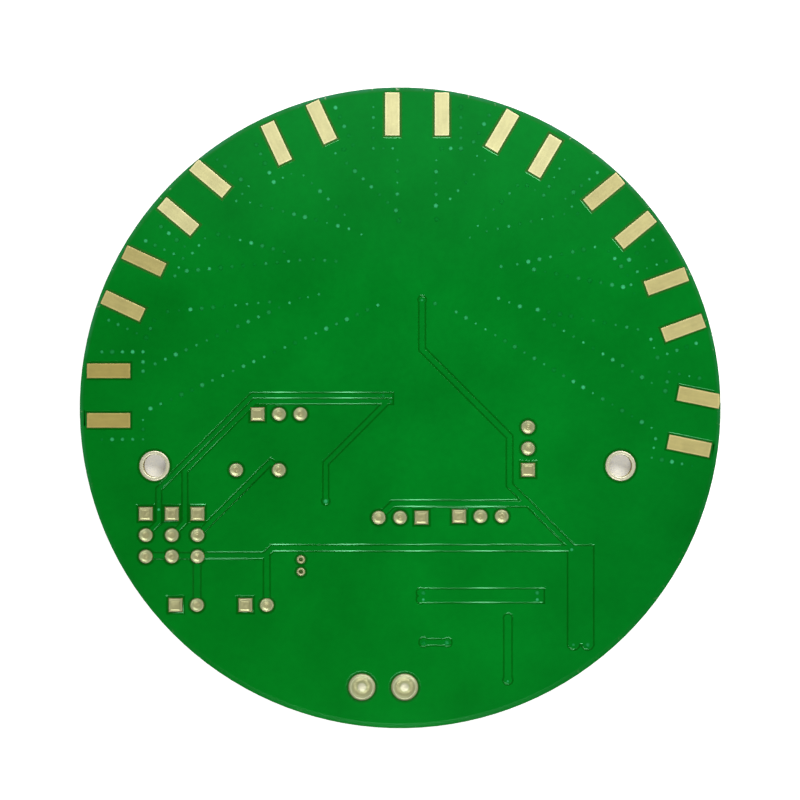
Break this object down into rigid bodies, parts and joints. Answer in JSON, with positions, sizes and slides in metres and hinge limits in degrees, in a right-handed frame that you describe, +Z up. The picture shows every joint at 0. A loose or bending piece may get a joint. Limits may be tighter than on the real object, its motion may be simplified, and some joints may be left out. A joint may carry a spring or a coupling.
{
  "type": "circuit board",
  "caption": "Round bare circuit board for a coaxial switch, with edge pads for launch sockets, plated header lands, wide supply copper and a hub for a switch chip.",
  "frame": {"origin": "centre of the board's underside, where it rests on a flat surface", "axes": "+Z up through the board to its solder side, +Y from the power lands towards the middle edge launch, +X to the right seen from above"},
  "size_m": [0.0762, 0.0762, 0.0018],
  "materials": {
    "laminate": "glass-fibre and resin, matt",
    "mask": "glossy green solder mask",
    "copper": "plated copper, bare under the mask",
    "pad_metal": "pale gold plating on copper, satin",
    "solder": "bright solder with a warm cast"
  },
  "bodies": {
    "root": {"laminate": "laminate", "front_mask": "mask", "back_mask": "mask", "front_ground": "copper", "back_ground": "copper", "launch_1_pads": "pad_metal", "launch_2_pads": "pad_metal", "launch_3_pads": "pad_metal", "launch_4_pads": "pad_metal", "launch_5_pads": "pad_metal", "launch_6_pads": "pad_metal", "launch_7_pads": "pad_metal", "launch_8_pads": "pad_metal", "launch_9_pads": "pad_metal", "back_launch_pads": "pad_metal", "line_1": "copper", "line_2": "copper", "line_3": "copper", "line_4": "copper", "line_5": "copper", "line_6": "copper", "line_7": "copper", "line_8": "copper", "line_9": "copper", "chip_lands": "pad_metal", "chip_ground_land": "pad_metal", "supply_track": "copper", "control_track_a": "copper", "control_track_b": "copper", "sense_track": "copper", "heater_track": "copper", "slot_track": "copper", "link_track": "copper", "header_a_lands": "pad_metal", "header_b_lands": "pad_metal", "header_c_lands": "pad_metal", "header_d_lands": "pad_metal", "header_e_lands": "pad_metal", "header_f_lands": "pad_metal", "header_g_lands": "pad_metal", "header_h_lands": "pad_metal", "header_j_lands": "pad_metal", "header_k_lands": "pad_metal", "power_lands": "pad_metal", "small_lands": "pad_metal", "mounting_lands": "pad_metal", "ground_vias": "copper", "signal_vias": "copper", "round_solder": "solder", "square_solder": "solder", "power_solder": "solder", "small_solder": "solder", "mounting_solder": "solder"}
  },
  "joints": []
}
